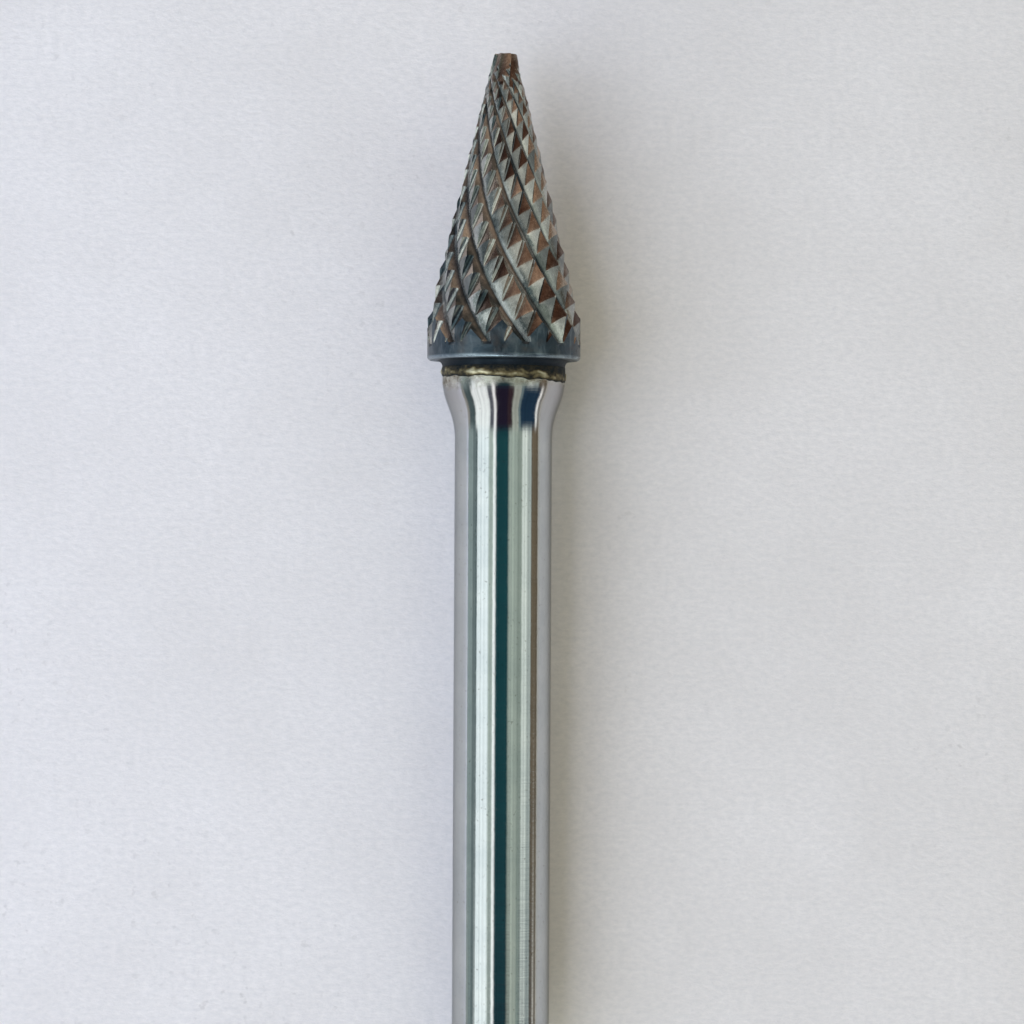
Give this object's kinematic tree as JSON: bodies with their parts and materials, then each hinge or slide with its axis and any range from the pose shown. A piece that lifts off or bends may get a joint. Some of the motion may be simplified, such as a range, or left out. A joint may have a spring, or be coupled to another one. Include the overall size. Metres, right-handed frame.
{
  "type": "rotary burr",
  "caption": "Cone-shaped carbide rotary burr with double-cut teeth, brazed to a round quarter-inch steel shank for a die grinder.",
  "frame": {"origin": "centre of the shank's free end face", "axes": "+Y along the spin axis from the shank's free end to the head's tip; +Z and +X are any two directions across it"},
  "size_m": [0.01, 0.065, 0.01],
  "materials": {
    "carbide": "ground, semi-bright",
    "braze_alloy": "as brazed, satin",
    "copper": "plain",
    "shank_steel": "ground and polished"
  },
  "bodies": {
    "root": {"carbide_head": "carbide", "braze_layer_head_side": "braze_alloy", "copper_shim": "copper", "braze_layer_shank_side": "braze_alloy", "braze_fillet": "braze_alloy", "shank": "shank_steel"}
  },
  "joints": []
}
